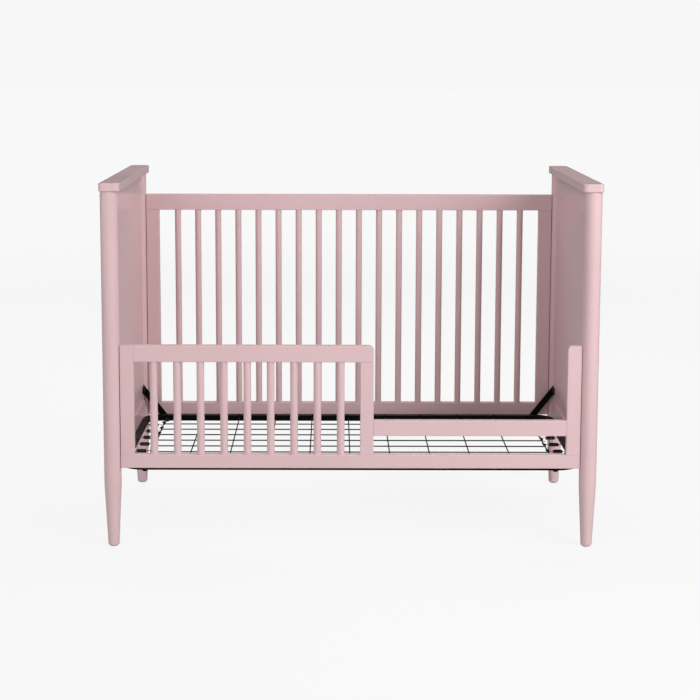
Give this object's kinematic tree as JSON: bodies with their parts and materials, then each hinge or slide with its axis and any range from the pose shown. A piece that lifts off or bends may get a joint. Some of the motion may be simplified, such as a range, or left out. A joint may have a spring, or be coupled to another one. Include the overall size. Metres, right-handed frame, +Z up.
{
  "type": "toddler bed",
  "caption": "Wooden toddler bed with round tapered posts, solid ends, spindle back, short front guard rail with an entry gap, and a sprung wire deck.",
  "frame": {"origin": "on the floor, under the middle of the bed", "axes": "+X along the bed to the right as seen from the guard rail side, +Y from the guard rail to the tall back, +Z up"},
  "size_m": [1.434, 0.79, 1.061],
  "materials": {
    "pink_paint": "satin pink paint over smooth wood",
    "bare_wood": "unfinished, fluted dowel stock",
    "black_steel": "black powder coat",
    "spring_steel": "black coated spring wire",
    "black_fasteners": "black oxide",
    "zinc_steel": "zinc plated",
    "nylon": "matte"
  },
  "bodies": {
    "root": {"arm_rivets": "black_fasteners", "back_bottom_rail": "pink_paint", "back_left_hanger_arm": "black_steel", "back_left_post": "pink_paint", "back_left_stile": "pink_paint", "back_right_hanger_arm": "black_steel", "back_right_post": "pink_paint", "back_right_stile": "pink_paint", "back_spindle_pair_1": "pink_paint", "back_spindle_pair_2": "pink_paint", "back_spindle_pair_3": "pink_paint", "back_spindle_pair_4": "pink_paint", "back_spindle_pair_5": "pink_paint", "back_spindle_pair_6": "pink_paint", "back_spindle_pair_7": "pink_paint", "back_spindle_pair_8": "pink_paint", "back_spindle_pair_9": "pink_paint", "back_top_rail": "pink_paint", "barrel_nuts": "zinc_steel", "deck_cross_wires": "black_steel", "deck_long_wires": "black_steel", "deck_springs": "spring_steel", "dowels": "bare_wood", "foot_glides": "nylon", "front_bottom_rail": "pink_paint", "front_left_hanger_arm": "black_steel", "front_left_post": "pink_paint", "front_left_stile": "pink_paint", "front_right_hanger_arm": "black_steel", "front_right_post": "pink_paint", "front_right_stile": "pink_paint", "guard_end_stile": "pink_paint", "guard_spindle_1": "pink_paint", "guard_spindle_2": "pink_paint", "guard_spindle_3": "pink_paint", "guard_spindle_4": "pink_paint", "guard_spindle_5": "pink_paint", "guard_spindle_6": "pink_paint", "guard_spindle_7": "pink_paint", "guard_spindle_8": "pink_paint", "guard_spindle_9": "pink_paint", "guard_top_rail": "pink_paint", "hanger_bolts": "black_fasteners", "height_inserts": "zinc_steel", "left_cap": "pink_paint", "left_end_bottom_rail": "pink_paint", "left_end_panel": "pink_paint", "left_end_top_rail": "pink_paint", "mattress_frame": "black_steel", "middle_rail": "pink_paint", "rail_bolts": "zinc_steel", "right_cap": "pink_paint", "right_end_bottom_rail": "pink_paint", "right_end_panel": "pink_paint", "right_end_top_rail": "pink_paint"}
  },
  "joints": []
}
